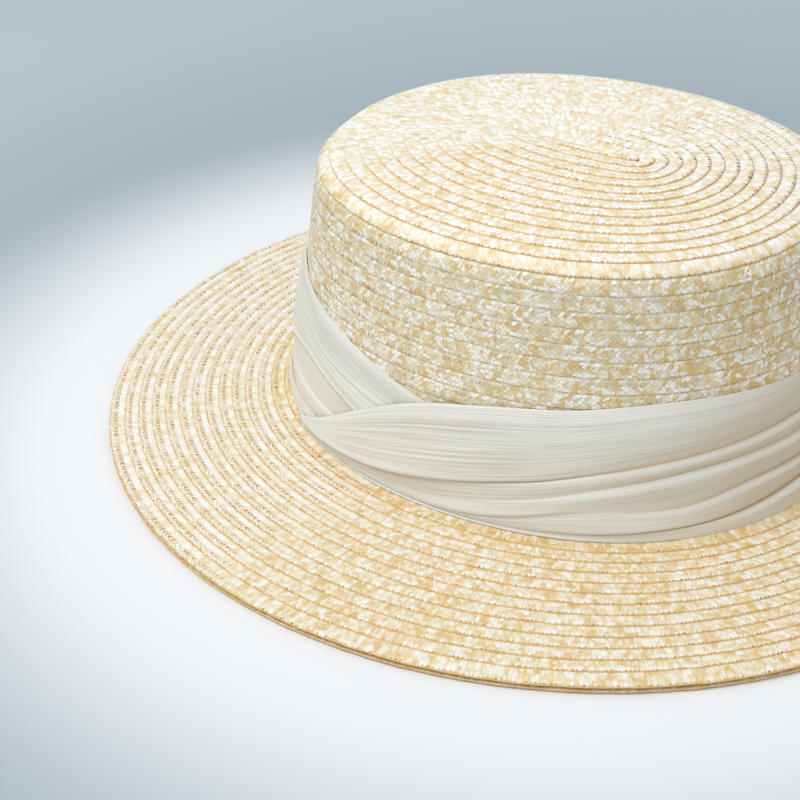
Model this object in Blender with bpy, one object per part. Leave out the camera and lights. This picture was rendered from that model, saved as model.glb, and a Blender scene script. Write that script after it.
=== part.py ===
"""Straw boater hat: a hollow crown and a flat brim of sewn straw plait, with a pleated silk band.

Units are metres and +Z is up. The front of the hat is towards -Y and the wearer's left is towards +X. The origin
is on the surface that the hat rests on, under the middle of the crown.

Every piece follows one family of ovals: a circle stretched along Y by a straight run, which is how a spiral of
plait grows from its straight start. Angles round the hat are in degrees, with 0 at the front, 90 at the wearer's
left and 180 at the back.
"""

import math

import bmesh
import bpy
import numpy as np

# Straw plait, sewn so that each row lies over the edge of the next one out or down
ROW_PITCH = 0.0051
ROW_STEP = 0.0007
ROW_LAP = 0.0004
STRAW_WALL = 0.0016

# Crown
CROWN_STRAIGHT = 0.0122
SHOULDER_HALF_WIDTH = 0.0750
FOOT_FLARE = 0.0108
CROWN_HEIGHT = 0.0863
SHOULDER_RADIUS = 0.0097
TIP_DOME = 0.0044
FOOT_TURN = 0.0044

# Brim and the row sewn under its edge
BRIM_WIDTH = 0.0706
BRIM_EDGE_STRAIGHT = 0.0029
BRIM_RISE = 0.0014
EDGE_ROW_WIDTH = 0.0060
EDGE_ROW_SHOW = 0.0006
EDGE_ROW_THICKNESS = 0.0014

# Silk band
BAND_HEIGHT = 0.0460
SILK_THICKNESS = 0.0010
PLEAT_DEPTH = 0.0017
LAPPED_FULLNESS = 0.35
PLEAT_LEAN = 0.25

# Space between touching pieces, and fineness of the meshes
GAP = 0.0003
SIDES = 44
BAND_SECTIONS = 66
PLEAT_SHARES = (0.03, 0.33, 0.93)
SHARP_ANGLE = 35

# Sections of the band in the order it is wrapped, from the end that lies under to the end that lies over.
# angle: degrees round the hat, below zero once past the front. lift: share of the height at which it rides over
# its own start. fullness: share of the pleats' depth. The rest are heights as shares of the band's height: the
# lower edge, four folds and the upper edge.
BAND_COLUMNS = ("angle", "lift", "fullness", "bottom", "fold_1", "fold_2", "fold_3", "fold_4", "top")
BAND_TABLE = (
    (104, 0.0, LAPPED_FULLNESS, 0.00, 0.10, 0.20, 0.32, 0.44, 0.58),
    (89, 0.0, LAPPED_FULLNESS, 0.00, 0.11, 0.24, 0.38, 0.55, 0.72),
    (78, 0.0, LAPPED_FULLNESS, 0.00, 0.12, 0.26, 0.43, 0.64, 0.83),
    (70, 0.0, LAPPED_FULLNESS, 0.00, 0.12, 0.28, 0.47, 0.71, 0.90),
    (60, 0.0, LAPPED_FULLNESS, 0.00, 0.13, 0.30, 0.54, 0.78, 0.97),
    (50, 0.0, LAPPED_FULLNESS, 0.00, 0.14, 0.32, 0.57, 0.82, 1.02),
    (32, 0.0, 0.9, 0.00, 0.14, 0.32, 0.55, 0.80, 1.03),
    (0, 0.0, 1.0, 0.00, 0.14, 0.32, 0.53, 0.76, 1.00),
    (-45, 0.0, 1.0, 0.00, 0.15, 0.33, 0.53, 0.74, 0.97),
    (-90, 0.0, 1.0, 0.00, 0.16, 0.35, 0.55, 0.73, 0.95),
    (-135, 0.0, 1.0, 0.00, 0.17, 0.36, 0.56, 0.71, 0.93),
    (-180, 0.0, 1.0, 0.00, 0.18, 0.36, 0.56, 0.69, 0.91),
    (-194, 0.1, 1.0, 0.00, 0.16, 0.33, 0.53, 0.66, 0.92),
    (-210, 0.4, 1.0, 0.00, 0.12, 0.25, 0.50, 0.62, 0.94),
    (-220, 0.6, 1.0, 0.00, 0.10, 0.22, 0.46, 0.57, 0.95),
    (-233, 0.9, 1.0, 0.00, 0.08, 0.19, 0.39, 0.51, 0.94),
    (-248, 1.0, 1.0, 0.00, 0.06, 0.16, 0.27, 0.40, 0.89),
    (-259, 1.0, 0.9, 0.00, 0.03, 0.08, 0.20, 0.32, 0.83),
    (-270, 1.0, 0.8, 0.00, 0.02, 0.06, 0.12, 0.21, 0.74),
    (-279, 1.0, 0.7, 0.00, 0.02, 0.04, 0.09, 0.16, 0.61),
    (-289, 1.0, 0.6, 0.00, 0.02, 0.04, 0.07, 0.12, 0.40),
    (-298, 1.0, 0.4, 0.00, 0.02, 0.04, 0.06, 0.08, 0.21),
    (-306, 1.0, 0.2, 0.00, 0.02, 0.03, 0.04, 0.05, 0.08),
)
# The crown's rows stop being modelled where the band covers them, below this share of the band's height.
COVERED_SHARE = 0.66

# Half widths across the hat, which set each oval
FOOT_HALF_WIDTH = SHOULDER_HALF_WIDTH + FOOT_FLARE
TURN_HALF_WIDTH = FOOT_HALF_WIDTH + FOOT_TURN
BRIM_HALF_WIDTH = FOOT_HALF_WIDTH + BRIM_WIDTH

# Heights, stacked from the resting surface
BRIM_UNDERSIDE = EDGE_ROW_THICKNESS + GAP
BRIM_INNER_TOP = BRIM_UNDERSIDE + BRIM_RISE + STRAW_WALL
CROWN_SEAT = BRIM_INNER_TOP + GAP
BAND_SEAT = CROWN_SEAT + STRAW_WALL + GAP
SHOULDER_FOOT = CROWN_SEAT + CROWN_HEIGHT - SHOULDER_RADIUS

# How far the side leans out, and how far the tip falls towards its edge, in radians
SIDE_LEAN = math.atan2(FOOT_FLARE, CROWN_HEIGHT - SHOULDER_RADIUS)
TIP_LEAN = math.atan2(2 * TIP_DOME, SHOULDER_HALF_WIDTH - SHOULDER_RADIUS)


def straight_run(half_width):
    """Half length of the straight run that stretches the oval of this half width."""
    return np.interp(half_width, (TURN_HALF_WIDTH, BRIM_HALF_WIDTH), (CROWN_STRAIGHT, BRIM_EDGE_STRAIGHT))


def oval_stretch(half_width, y):
    """How far a point at y on a circle of this half width moves along Y to lie on the oval."""
    return straight_run(half_width) * math.sin(math.pi / 2 * y / half_width)


def crown_wall():
    """Points and outward directions along the crown's wall, from the middle of the tip down to the foot."""
    centre = np.array([
        SHOULDER_HALF_WIDTH - SHOULDER_RADIUS * math.cos(SIDE_LEAN),
        SHOULDER_FOOT - SHOULDER_RADIUS * math.sin(SIDE_LEAN),
    ])
    turn = np.linspace(math.pi / 2 - TIP_LEAN, SIDE_LEAN, 24)
    shoulder_out = np.column_stack([np.cos(turn), np.sin(turn)])
    shoulder = centre + SHOULDER_RADIUS * shoulder_out

    tip_edge, tip_height = shoulder[0]
    across = np.linspace(0, tip_edge, 60)[:-1]
    slope = math.tan(TIP_LEAN) * across / tip_edge
    fall = math.tan(TIP_LEAN) * (tip_edge**2 - across**2) / (2 * tip_edge)
    tip = np.column_stack([across, tip_height + fall])
    tip_out = np.column_stack([slope, np.ones_like(slope)]) / np.hypot(slope, 1)[:, None]

    height = np.linspace(SHOULDER_FOOT, CROWN_SEAT, 40)[1:]
    side = np.column_stack([side_half_width(height), height])
    side_out = np.tile(shoulder_out[-1], (len(height), 1))
    return np.vstack([tip, shoulder, side]), np.vstack([tip_out, shoulder_out, side_out])


def side_half_width(height, offset=0.0):
    """Half width of the crown's side at a height, this far out from its wall."""
    return SHOULDER_HALF_WIDTH + (SHOULDER_FOOT - height) * math.tan(SIDE_LEAN) + offset / math.cos(SIDE_LEAN)


def crown_profile():
    """Half width and height along the crown, down its outside in rows of plait and up its plain inside."""
    points, outward = crown_wall()
    run = np.concatenate([[0], np.cumsum(np.hypot(*np.diff(points, axis=0).T))])

    def on_wall(distance, offset):
        place = [np.interp(distance, run, points[:, i]) for i in range(2)]
        direction = [np.interp(distance, run, outward[:, i]) for i in range(2)]
        return place[0] + offset * direction[0], place[1] + offset * direction[1]

    covered = BAND_SEAT + COVERED_SHARE * BAND_HEIGHT
    covered_run = np.interp(-covered, -points[:, 1], run)
    profile = []
    for row in range(int(covered_run / ROW_PITCH)):
        inner = row * ROW_PITCH + (ROW_LAP if row else ROW_PITCH / 3)
        profile.append(on_wall(inner, 0))
        profile.append(on_wall((row + 1) * ROW_PITCH, ROW_STEP))

    flange_top = CROWN_SEAT + STRAW_WALL
    profile.append((side_half_width(flange_top, ROW_STEP), flange_top))
    profile.append((TURN_HALF_WIDTH, flange_top))
    profile.append((TURN_HALF_WIDTH, CROWN_SEAT))
    profile.append((side_half_width(CROWN_SEAT, -STRAW_WALL), CROWN_SEAT))

    shoulder_start = np.interp(-SHOULDER_FOOT, -points[:, 1], run)
    shoulder_run = SHOULDER_RADIUS * (math.pi / 2 - TIP_LEAN - SIDE_LEAN)
    for share in np.linspace(0, 1, 5):
        profile.append(on_wall(shoulder_start - share * shoulder_run, -STRAW_WALL))
    for share in (0.75, 0.5, 0.25, 0.03):
        profile.append(on_wall(share * (shoulder_start - shoulder_run), -STRAW_WALL))
    return profile


def brim_profile():
    """Half width and height round the brim's section: its top in rows of plait, and its plain underside."""
    hole = side_half_width(CROWN_SEAT, -STRAW_WALL)

    def underside(half_width):
        return BRIM_UNDERSIDE + BRIM_RISE * (BRIM_HALF_WIDTH - half_width) / (BRIM_HALF_WIDTH - hole)

    profile = [(hole, underside(hole) + STRAW_WALL)]
    rows = round((BRIM_HALF_WIDTH - TURN_HALF_WIDTH) / ROW_PITCH)
    pitch = (BRIM_HALF_WIDTH - TURN_HALF_WIDTH) / rows
    for row in range(rows):
        inner = TURN_HALF_WIDTH + row * pitch + ROW_LAP
        outer = TURN_HALF_WIDTH + (row + 1) * pitch
        profile.append((inner, underside(inner) + STRAW_WALL))
        profile.append((outer, underside(outer) + STRAW_WALL + ROW_STEP))
    for share in (1, 0.5, 0):
        half_width = hole + share * (BRIM_HALF_WIDTH - hole)
        profile.append((half_width, underside(half_width)))
    return profile


def edge_row_profile():
    """Half width and height round the section of the row under the brim's edge, flat where the hat rests."""
    outer = BRIM_HALF_WIDTH + EDGE_ROW_SHOW
    inner = outer - EDGE_ROW_WIDTH
    return [(inner, 0), (outer, 0), (outer, EDGE_ROW_THICKNESS), (inner, EDGE_ROW_THICKNESS)]


def band_sections():
    """The band's sections, each a closed loop of half widths and heights, with the angle each lies at."""
    table = {name: np.array(column, float) for name, column in zip(BAND_COLUMNS, zip(*BAND_TABLE))}
    along = -table["angle"]
    folds = [name for name in BAND_COLUMNS if name.startswith("fold")]
    edges = ["bottom", *folds, "top"]
    lap_lift = GAP + SILK_THICKNESS + LAPPED_FULLNESS * PLEAT_DEPTH
    angles = np.linspace(table["angle"][0], table["angle"][-1], BAND_SECTIONS)
    sections = []
    for angle in angles:
        at = {name: np.interp(-angle, along, table[name]) for name in BAND_COLUMNS}
        levels = [BAND_SEAT + at[name] * BAND_HEIGHT for name in edges]
        inside = ROW_STEP + GAP + at["lift"] * lap_lift
        outside = inside + SILK_THICKNESS
        loop = []
        for low, high in zip(levels, levels[1:]):
            for share in PLEAT_SHARES:
                height = low + share * (high - low)
                swell = math.sin(math.pi * (share + PLEAT_LEAN) / (1 + PLEAT_LEAN))
                bulge = at["fullness"] * PLEAT_DEPTH * swell
                loop.append((side_half_width(height, outside + bulge), height))
        for share in (1, 0.5, 0):
            height = levels[0] + share * (levels[-1] - levels[0])
            loop.append((side_half_width(height, inside), height))
        sections.append(loop)
    return angles, sections


def finish(name, bm, colour, roughness):
    """Makes the bmesh an object of its own, with its own material."""
    bmesh.ops.recalc_face_normals(bm, faces=bm.faces)
    mesh = bpy.data.meshes.new(name)
    bm.to_mesh(mesh)
    bm.free()
    mesh.shade_smooth()
    mesh.set_sharp_from_angle(angle=math.radians(SHARP_ANGLE))
    material = bpy.data.materials.new(name)
    material.use_nodes = True
    shader = material.node_tree.nodes["Principled BSDF"]
    shader.inputs["Base Color"].default_value = (*colour, 1)
    shader.inputs["Roughness"].default_value = roughness
    shader.inputs["Metallic"].default_value = 0
    mesh.materials.append(material)
    bpy.context.scene.collection.objects.link(bpy.data.objects.new(name, mesh))


def turn_oval(name, profile, closed, colour, roughness):
    """Spins a profile round the hat's axis and stretches each circle to its oval. An open end is capped."""
    bm = bmesh.new()
    points = [bm.verts.new((half_width, 0, height)) for half_width, height in profile]
    lines = [bm.edges.new(pair) for pair in zip(points, points[1:])]
    if closed:
        lines.append(bm.edges.new((points[-1], points[0])))
    bmesh.ops.spin(
        bm,
        geom=points + lines,
        cent=(0, 0, 0),
        axis=(0, 0, 1),
        angle=2 * math.pi,
        steps=SIDES,
        use_merge=True,
    )
    for vert in bm.verts:
        vert.co.y += oval_stretch(math.hypot(vert.co.x, vert.co.y), vert.co.y)
    bmesh.ops.holes_fill(bm, edges=[edge for edge in bm.edges if edge.is_boundary], sides=0)
    finish(name, bm, colour, roughness)


def wrap_band(name, colour, roughness):
    """Wraps a flat grid round the crown: its length follows the sections and its width closes round each one."""
    angles, sections = band_sections()
    lengths = len(sections) - 1
    widths = len(sections[0])
    bm = bmesh.new()
    bmesh.ops.create_grid(bm, x_segments=lengths, y_segments=widths, size=1)
    for vert in bm.verts:
        section = round((vert.co.x + 1) / 2 * lengths)
        half_width, height = sections[section][round((vert.co.y + 1) / 2 * widths) % widths]
        angle = math.radians(angles[section])
        y = -half_width * math.cos(angle)
        vert.co = (half_width * math.sin(angle), y + oval_stretch(half_width, y), height)
    bmesh.ops.remove_doubles(bm, verts=bm.verts, dist=1e-7)
    bmesh.ops.holes_fill(bm, edges=[edge for edge in bm.edges if edge.is_boundary], sides=0)
    finish(name, bm, colour, roughness)


for leftover in list(bpy.data.objects):
    bpy.data.objects.remove(leftover)

turn_oval("crown", crown_profile(), False, (0.80, 0.68, 0.48), 0.50)
turn_oval("brim", brim_profile(), True, (0.76, 0.60, 0.38), 0.50)
turn_oval("brim_edge_row", edge_row_profile(), True, (0.66, 0.48, 0.28), 0.55)
wrap_band("band", (0.76, 0.71, 0.63), 0.40)
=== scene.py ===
import math

import bmesh
import bpy
import numpy as np
from mathutils import Matrix, Vector


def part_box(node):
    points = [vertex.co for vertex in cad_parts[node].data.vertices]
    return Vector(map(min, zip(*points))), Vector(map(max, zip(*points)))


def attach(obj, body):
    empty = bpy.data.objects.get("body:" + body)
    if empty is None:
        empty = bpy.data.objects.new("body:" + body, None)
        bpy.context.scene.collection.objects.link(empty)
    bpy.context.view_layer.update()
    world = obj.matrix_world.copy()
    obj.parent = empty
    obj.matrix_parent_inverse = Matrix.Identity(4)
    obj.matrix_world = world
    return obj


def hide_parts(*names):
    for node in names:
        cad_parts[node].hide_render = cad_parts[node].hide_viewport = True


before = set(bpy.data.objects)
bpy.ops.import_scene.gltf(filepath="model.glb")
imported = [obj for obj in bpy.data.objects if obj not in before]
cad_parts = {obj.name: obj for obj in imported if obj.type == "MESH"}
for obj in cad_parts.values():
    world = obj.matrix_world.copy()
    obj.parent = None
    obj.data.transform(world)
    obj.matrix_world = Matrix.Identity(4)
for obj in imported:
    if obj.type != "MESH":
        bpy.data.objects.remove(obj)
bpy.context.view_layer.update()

# Crown plait
# The crown is one long plait of split wheat straw, about 6 mm wide. It is wound from a short straight start in the
# middle of the tip, over the shoulder and down the side, and each row is stitched over the edge of the next one.
ROW_PITCH = 0.0051
PLAIT_THICKNESS = 0.0013
ALONG_STEP = 0.00125
START_STRAIGHT = 0.0177
START_BACK = 0.0045
CROWN_STRAIGHT = 0.0122
BRIM_EDGE_STRAIGHT = 0.0029
SHOULDER_HALF_WIDTH = 0.0750
FOOT_FLARE = 0.0108
CROWN_HEIGHT = 0.0863
SHOULDER_RADIUS = 0.0097
TIP_DOME = 0.0044
FOOT_TURN = 0.0044
FOOT_TURN_HEIGHT = 0.0020
FOOT_TURN_REACH = 0.0052
FOOT_TURN_DROP = 0.0016
FOOT_TURN_POWER = 1.6
WALL_STEPS = {"tip": 60, "shoulder": 24, "side": 40, "foot": 8}
TINY = 0.00001
BRIM_WIDTH = 0.0706
SETTLE = 0.0011
CROWN_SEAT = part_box("crown")[0].z - SETTLE
FOOT_HALF_WIDTH = SHOULDER_HALF_WIDTH + FOOT_FLARE
TURN_HALF_WIDTH = FOOT_HALF_WIDTH + FOOT_TURN
BRIM_HALF_WIDTH = FOOT_HALF_WIDTH + BRIM_WIDTH
SHOULDER_FOOT = CROWN_SEAT + CROWN_HEIGHT - SHOULDER_RADIUS
SIDE_LEAN = math.atan2(FOOT_FLARE, CROWN_HEIGHT - SHOULDER_RADIUS)
TIP_LEAN = math.atan2(2 * TIP_DOME, SHOULDER_HALF_WIDTH - SHOULDER_RADIUS)

# Section of one row of plait, round from its tucked inner edge. across: share of the row from the line above to its
# own outer edge. lift: millimetres above the wall. shown: the across value that the straw pattern reads.
PLAIT_SECTION = (
    (-0.16, -0.32, -0.16),
    (0.02, 0.02, 0.02),
    (0.20, 0.10, 0.20),
    (0.42, 0.17, 0.42),
    (0.55, 0.33, 0.55),
    (0.70, 0.47, 0.70),
    (0.84, 0.50, 0.84),
    (0.945, 0.42, 0.945),
    (1.00, 0.20, 1.00),
    (0.99, -0.15, 1.10),
    (0.80, -0.60, 0.80),
    (0.35, -0.95, 0.35),
    (-0.16, -0.95, -0.16),
)


def on_oval(half_width, height, degrees):
    """Points on the hat's ovals: 0 degrees is the front, 90 the wearer's left."""
    angle = np.radians(degrees)
    tip = SHOULDER_HALF_WIDTH - SHOULDER_RADIUS
    straight = np.interp(
        half_width,
        (0, tip, TURN_HALF_WIDTH, BRIM_HALF_WIDTH),
        (START_STRAIGHT, CROWN_STRAIGHT, CROWN_STRAIGHT, BRIM_EDGE_STRAIGHT),
    )
    middle = np.interp(half_width, (0, tip), (START_BACK, 0))
    y = middle - half_width * np.cos(angle) - straight * np.sin(np.pi / 2 * np.cos(angle))
    return np.stack([half_width * np.sin(angle), y, height + 0 * half_width], axis=-1)


def crown_wall():
    """Distance from the middle of the tip, half width, height and outward direction along the crown's wall."""
    centre = np.array([
        SHOULDER_HALF_WIDTH - SHOULDER_RADIUS * math.cos(SIDE_LEAN),
        SHOULDER_FOOT - SHOULDER_RADIUS * math.sin(SIDE_LEAN),
    ])
    turn = np.linspace(math.pi / 2 - TIP_LEAN, SIDE_LEAN, WALL_STEPS["shoulder"])
    shoulder_out = np.column_stack([np.cos(turn), np.sin(turn)])
    shoulder = centre + SHOULDER_RADIUS * shoulder_out
    tip_edge, tip_height = shoulder[0]
    across = np.linspace(0, tip_edge, WALL_STEPS["tip"])[:-1]
    slope = math.tan(TIP_LEAN) * across / tip_edge
    fall = math.tan(TIP_LEAN) * (tip_edge**2 - across**2) / (2 * tip_edge)
    tip = np.column_stack([across, tip_height + fall])
    tip_out = np.column_stack([slope, np.ones_like(slope)]) / np.hypot(slope, 1)[:, None]
    low = CROWN_SEAT + PLAIT_THICKNESS + FOOT_TURN_HEIGHT
    height = np.linspace(SHOULDER_FOOT, low, WALL_STEPS["side"])[1:]
    side = np.column_stack([SHOULDER_HALF_WIDTH + (SHOULDER_FOOT - height) * math.tan(SIDE_LEAN), height])
    side_out = np.tile(shoulder_out[-1], (len(height), 1))
    bend = np.linspace(0, 1, WALL_STEPS["foot"])[1:]
    foot_width = side[-1, 0] + FOOT_TURN_REACH * bend**FOOT_TURN_POWER
    foot = np.column_stack([foot_width, low - FOOT_TURN_DROP * np.sin(bend * math.pi / 2)])
    lean = SIDE_LEAN + (math.pi / 2 - SIDE_LEAN) * bend
    foot_out = np.column_stack([np.cos(lean), np.sin(lean)])
    points = np.vstack([tip, shoulder, side, foot])
    out = np.vstack([tip_out, shoulder_out, side_out, foot_out])
    run = np.concatenate([[0], np.cumsum(np.hypot(*np.diff(points, axis=0).T))])
    return np.column_stack([run, points, out])


CROWN_WALL = crown_wall()
CROWN_FIRST_LINE = 0.00345
CROWN_LINE_ANGLE = 90


def crown_plait(turns, across, lift):
    """Points of the crown's spiral: turns from its start, across the row, and lift from the wall."""
    run = CROWN_FIRST_LINE + ROW_PITCH * (turns + across - 1)
    run = np.clip(run, 2 * TINY, CROWN_WALL[-1, 0])
    half_width, height, out_x, out_z = (np.interp(run, CROWN_WALL[:, 0], CROWN_WALL[:, i]) for i in (1, 2, 3, 4))
    half_width = np.maximum(half_width + lift * out_x, TINY)
    return on_oval(half_width, height + lift * out_z, CROWN_LINE_ANGLE - 360 * turns)


def waver(along, seed, waves=(0.009, 0.017, 0.031, 0.074)):
    """A slow, smooth unevenness between -1 and 1 along a hand-guided seam."""
    rng = np.random.default_rng(seed)
    phases = rng.uniform(0, 2 * np.pi, len(waves))
    return sum(np.sin(2 * np.pi * along / wave + phase) for wave, phase in zip(waves, phases)) / len(waves)


def grid_mesh(name, points, steps, rows):
    """Moves a flat grid onto points. Gives the mesh, each vertex's place in the grid and each corner's vertex."""
    bm = bmesh.new()
    bmesh.ops.create_grid(bm, x_segments=steps, y_segments=rows, size=1)
    mesh = bpy.data.meshes.new(name)
    bm.to_mesh(mesh)
    bm.free()
    flat = np.empty(len(mesh.vertices) * 3, np.float32)
    mesh.vertices.foreach_get("co", flat)
    flat = flat.reshape(-1, 3)
    i = np.rint((flat[:, 0] + 1) / 2 * steps).astype(int)
    j = np.rint((flat[:, 1] + 1) / 2 * rows).astype(int) % points.shape[1]
    mesh.vertices.foreach_set("co", points[i, j].astype(np.float32).ravel())
    corner = np.empty(len(mesh.loops), np.int32)
    mesh.loops.foreach_get("vertex_index", corner)
    return mesh, i, j, corner


def add_uv(mesh, name, u, v):
    """Lays a UV map on the mesh's corners."""
    mesh.uv_layers.new(name=name).data.foreach_set("uv", np.column_stack([u, v]).astype(np.float32).ravel())


def add_object(name, mesh):
    """Puts a smooth-shaded object with this mesh at the origin."""
    mesh.shade_smooth()
    piece = bpy.data.objects.new(name, mesh)
    bpy.context.scene.collection.objects.link(piece)
    return piece


SPIRAL_STEPS = 240
EDGE_WAVER = 0.030
ROW_RIDE = 0.07
ROW_ROCK = 0.05
WELD_DISTANCE = 1e-7


def sew_plait(name, place, first, last, seed, step=ALONG_STEP, start=0.0, puff=1.0):
    """Makes one closed ribbon of plait from turn first to turn last of a spiral, with its length along the UV's U."""
    fine = np.linspace(first, last, int((last - first) * SPIRAL_STEPS) + 2)
    middle = place(fine, np.full_like(fine, 0.5), np.zeros_like(fine))
    length = np.concatenate([[0], np.cumsum(np.linalg.norm(np.diff(middle, axis=0), axis=1))])
    lengths = int(length[-1] / step)
    along = np.linspace(0, length[-1], lengths + 1)
    turns = np.interp(along, length, fine)
    across, lift, shown = (np.array(column) for column in zip(*PLAIT_SECTION))
    edge = 1 + EDGE_WAVER * waver(along, seed)[:, None] * np.clip(across, 0, 1)[None, :]
    lift = np.where(lift > 0, lift * puff, lift)
    ride = ROW_RIDE * waver(along, seed + 1)[:, None] + ROW_ROCK * waver(along, seed + 2)[:, None] * across[None, :]
    points = place(turns[:, None] + 0 * across, across[None, :] * edge, (lift[None, :] + ride) / 1000)
    mesh, i, j, corner = grid_mesh(name, points, lengths, len(PLAIT_SECTION))
    add_uv(mesh, "plait", start + along[i[corner]], shown[j[corner]])
    bm = bmesh.new()
    bm.from_mesh(mesh)
    bmesh.ops.remove_doubles(bm, verts=bm.verts, dist=WELD_DISTANCE)
    bmesh.ops.holes_fill(bm, edges=[rim for rim in bm.edges if rim.is_boundary], sides=0)
    bmesh.ops.recalc_face_normals(bm, faces=bm.faces)
    bm.to_mesh(mesh)
    bm.free()
    piece = add_object(name, mesh)
    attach(piece, "root")
    return piece


def node(tree, kind, inputs=None, **settings):
    """Adds a shader node, links or sets its inputs by index or name, and gives it back."""
    made = tree.nodes.new(kind)
    for key, value in settings.items():
        setattr(made, key, value)
    for key, value in (inputs or {}).items():
        if isinstance(value, bpy.types.NodeSocket):
            tree.links.new(value, made.inputs[key])
        else:
            made.inputs[key].default_value = value
    return made


def calc(tree, operation, *values, clamp=False):
    """One Math node's result."""
    return node(tree, "ShaderNodeMath", dict(enumerate(values)), operation=operation, use_clamp=clamp).outputs[0]


def ease(tree, value, low, high, to_low=0.0, to_high=1.0):
    """Smooth step of value from low to high."""
    inputs = {"Value": value, "From Min": low, "From Max": high, "To Min": to_low, "To Max": to_high}
    return node(tree, "ShaderNodeMapRange", inputs, interpolation_type="SMOOTHSTEP").outputs["Result"]


def mix(tree, share, first, second, blend="MIX"):
    """Mixes two colours."""
    made = node(tree, "ShaderNodeMix", data_type="RGBA", blend_type=blend)
    for index, value in ((0, share), (6, first), (7, second)):
        if isinstance(value, bpy.types.NodeSocket):
            tree.links.new(value, made.inputs[index])
        elif index:
            made.inputs[index].default_value = (*value, 1)
        else:
            made.inputs[index].default_value = value
    return made.outputs[2]


def ramp(tree, value, stops):
    """A colour ramp with stops of (place, colour)."""
    made = node(tree, "ShaderNodeValToRGB", {"Fac": value})
    while len(made.color_ramp.elements) < len(stops):
        made.color_ramp.elements.new(0.5)
    for element, (place, colour) in zip(made.color_ramp.elements, stops):
        element.position = place
        element.color = (*colour, 1)
    return made.outputs["Color"]


def vector(tree, x, y, z=0.0):
    """Three values as one vector."""
    return node(tree, "ShaderNodeCombineXYZ", {0: x, 1: y, 2: z}).outputs[0]


# Straw pattern of every plait, in one group. Along is the place along the plait in metres and Across the share of the
# row. Whole splints cross the row. Where Fine is up, the row's inner strip is smooth and its outer part shows two sets
# of narrow splints that cross on the bias.
TOOTH = 0.0017
GLINT_WIDTH = 0.00135
EDGE_GLINT = 0.0026
WEAVE_CELL = 0.25
LINE_START = 0.84
LINE_WAVE = 0.11
HOLE_BEND = 0.55
STRAW_TONES = (
    (0.00, (0.74, 0.50, 0.20)),
    (0.25, (0.80, 0.62, 0.35)),
    (0.50, (0.85, 0.74, 0.52)),
    (0.75, (0.88, 0.82, 0.68)),
    (1.00, (0.91, 0.90, 0.86)),
)
GREY_STRAW = (0.64, 0.62, 0.47)
# White of the painted highlights on the straw's facets
PAINTED_GLINT_COLOUR = (0.96, 0.96, 0.94)
# Painted golden shade in the gaps between splints
GAP_SHADE_COLOUR = (0.72, 0.50, 0.20)
HOLE_COLOURS = (0.72, 0.42, 0.10), (0.46, 0.23, 0.04)
# Ochre of the row's edge line, partly the straw's own edge and partly painted shadow, then a brighter gold as painted
# light on the shaded edge wall
EDGE_LINE_AND_SHADOW_COLOURS = (0.60, 0.36, 0.13), (0.34, 0.18, 0.05)
EDGE_WALL_PAINTED_LIGHT = (0.80, 0.53, 0.21)
DOT_COLOUR = (0.32, 0.15, 0.04)
SPLINT_RELIEF, WOVEN_RELIEF, FACET_RELIEF, GRAIN_RELIEF, HOLE_DEPTH = 0.22, 0.18, 0.22, 0.06, 0.04


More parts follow.
